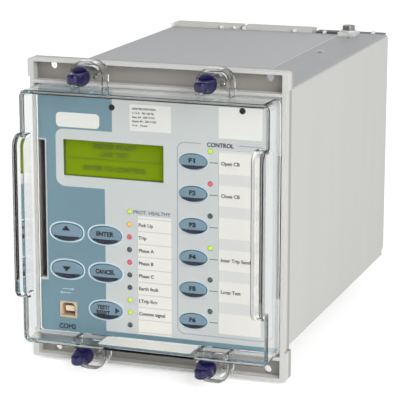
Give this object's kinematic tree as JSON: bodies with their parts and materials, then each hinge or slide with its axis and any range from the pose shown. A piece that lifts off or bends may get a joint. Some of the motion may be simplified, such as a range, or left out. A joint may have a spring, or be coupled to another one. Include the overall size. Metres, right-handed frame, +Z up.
{
  "type": "protection relay",
  "caption": "Panel-mounted protection relay with a sheet-metal case, moulded front frame, display, keys and lamps on a withdrawable element, and a clear cover held by turn fasteners.",
  "frame": {"origin": "centre of the panel fixing holes, on the front frame's back face", "axes": "+X to the right seen from the front, +Y into the panel, +Z up"},
  "size_m": [0.1554, 0.274, 0.1798],
  "materials": {
    "frame_plastic": "light grey fine-textured moulding",
    "case_sheet": "light grey powder-coated sheet",
    "terminal_plastic": "light grey terminal moulding",
    "terminal_plastic_dark": "mid grey terminal moulding",
    "plated_brass": "plated screw",
    "plated_steel": "zinc-plated steel",
    "fascia_plastic": "light grey moulding",
    "overlay_film": "printed polyester film in grey and grey-blue",
    "clear_window": "clear display window",
    "lcd_green": "yellow-green display glass",
    "circuit_board": "green solder-resist laminate",
    "black_plastic": "black moulding",
    "lamp_green": "lit green lamp",
    "lamp_amber": "lit amber lamp",
    "lamp_red": "lit red lamp",
    "lamp_unlit": "unlit milky lamp",
    "port_beige": "beige data port",
    "label_card": "white insert card",
    "winding": "varnished and taped winding",
    "relay_blue": "sealed relay case",
    "capacitor_sleeve": "shrink sleeve",
    "key_blue": "grey-blue key cap",
    "knob_violet": "dark blue-violet moulding",
    "clear_cover": "clear polycarbonate moulding"
  },
  "bodies": {
    "case": {"front_bezel": "frame_plastic", "case_wrap": "case_sheet", "side_panel": "case_sheet", "rear_plate": "case_sheet", "terminal_block_left": "terminal_plastic", "terminal_block_centre": "terminal_plastic", "terminal_block_right": "terminal_plastic_dark", "terminal_screws": "plated_brass", "earth_screw": "plated_brass", "earth_washer": "plated_steel", "case_rivets": "plated_steel", "upper_guide_rails": "plated_steel", "lower_guide_rails": "plated_steel"},
    "element": {"fascia_moulding": "fascia_plastic", "fascia_overlay": "overlay_film", "lcd_window": "clear_window", "lcd_frame": "plated_steel", "lcd_glass": "lcd_green", "keypad_board": "circuit_board", "board_screws": "plated_steel", "key_switches": "black_plastic", "lamps_green": "lamp_green", "lamps_amber": "lamp_amber", "lamps_red": "lamp_red", "lamps_unlit": "lamp_unlit", "port_shell": "port_beige", "port_tongue": "black_plastic", "status_label_card": "label_card", "control_label_card": "label_card", "left_pull_handle": "black_plastic", "right_pull_handle": "black_plastic", "top_plate": "plated_steel", "bottom_plate": "plated_steel", "analogue_board": "circuit_board", "processor_board": "circuit_board", "power_board": "circuit_board", "current_transformers": "winding", "output_relays": "relay_blue", "power_transformer": "winding", "smoothing_capacitors": "capacitor_sleeve", "processor_chips": "black_plastic", "rear_connectors": "terminal_plastic"},
    "cover": {"front_cover": "clear_cover"},
    "knob_top_left": {"knob_top_left": "knob_violet"},
    "knob_top_right": {"knob_top_right": "knob_violet"},
    "knob_bottom_left": {"knob_bottom_left": "knob_violet"},
    "knob_bottom_right": {"knob_bottom_right": "knob_violet"},
    "key_up": {"key_up": "key_blue"},
    "key_down": {"key_down": "key_blue"},
    "key_enter": {"key_enter": "key_blue"},
    "key_cancel": {"key_cancel": "key_blue"},
    "key_test": {"key_test": "key_blue"},
    "key_f1": {"key_f1": "key_blue"},
    "key_f2": {"key_f2": "key_blue"},
    "key_f3": {"key_f3": "key_blue"},
    "key_f4": {"key_f4": "key_blue"},
    "key_f5": {"key_f5": "key_blue"},
    "key_f6": {"key_f6": "key_blue"}
  },
  "joints": [
    {"name": "element_withdraw", "type": "slide", "parent": "case", "child": "element", "axis": [0, -1, 0], "range_m": [0, 0.26]},
    {"name": "cover_lift_off", "type": "slide", "parent": "element", "child": "cover", "axis": [0, -1, 0], "range_m": [0, 0.08]},
    {"name": "knob_top_left_turn", "type": "hinge", "parent": "cover", "child": "knob_top_left", "pos_m": [-0.0405, -0.02, 0.08135], "axis": [0, -1, 0], "range_deg": [0, 90]},
    {"name": "knob_top_right_turn", "type": "hinge", "parent": "cover", "child": "knob_top_right", "pos_m": [0.0345, -0.02, 0.08135], "axis": [0, -1, 0], "range_deg": [0, 90]},
    {"name": "knob_bottom_left_turn", "type": "hinge", "parent": "cover", "child": "knob_bottom_left", "pos_m": [-0.0405, -0.02, -0.08135], "axis": [0, -1, 0], "range_deg": [0, 90]},
    {"name": "knob_bottom_right_turn", "type": "hinge", "parent": "cover", "child": "knob_bottom_right", "pos_m": [0.0345, -0.02, -0.08135], "axis": [0, -1, 0], "range_deg": [0, 90]},
    {"name": "key_up_press", "type": "slide", "parent": "element", "child": "key_up", "axis": [0, 1, 0], "range_m": [0, 0.0006], "stiffness_N_per_m": 1500},
    {"name": "key_down_press", "type": "slide", "parent": "element", "child": "key_down", "axis": [0, 1, 0], "range_m": [0, 0.0006], "stiffness_N_per_m": 1500},
    {"name": "key_enter_press", "type": "slide", "parent": "element", "child": "key_enter", "axis": [0, 1, 0], "range_m": [0, 0.0006], "stiffness_N_per_m": 1500},
    {"name": "key_cancel_press", "type": "slide", "parent": "element", "child": "key_cancel", "axis": [0, 1, 0], "range_m": [0, 0.0006], "stiffness_N_per_m": 1500},
    {"name": "key_test_press", "type": "slide", "parent": "element", "child": "key_test", "axis": [0, 1, 0], "range_m": [0, 0.0006], "stiffness_N_per_m": 1500},
    {"name": "key_f1_press", "type": "slide", "parent": "element", "child": "key_f1", "axis": [0, 1, 0], "range_m": [0, 0.0006], "stiffness_N_per_m": 1500},
    {"name": "key_f2_press", "type": "slide", "parent": "element", "child": "key_f2", "axis": [0, 1, 0], "range_m": [0, 0.0006], "stiffness_N_per_m": 1500},
    {"name": "key_f3_press", "type": "slide", "parent": "element", "child": "key_f3", "axis": [0, 1, 0], "range_m": [0, 0.0006], "stiffness_N_per_m": 1500},
    {"name": "key_f4_press", "type": "slide", "parent": "element", "child": "key_f4", "axis": [0, 1, 0], "range_m": [0, 0.0006], "stiffness_N_per_m": 1500},
    {"name": "key_f5_press", "type": "slide", "parent": "element", "child": "key_f5", "axis": [0, 1, 0], "range_m": [0, 0.0006], "stiffness_N_per_m": 1500},
    {"name": "key_f6_press", "type": "slide", "parent": "element", "child": "key_f6", "axis": [0, 1, 0], "range_m": [0, 0.0006], "stiffness_N_per_m": 1500}
  ]
}
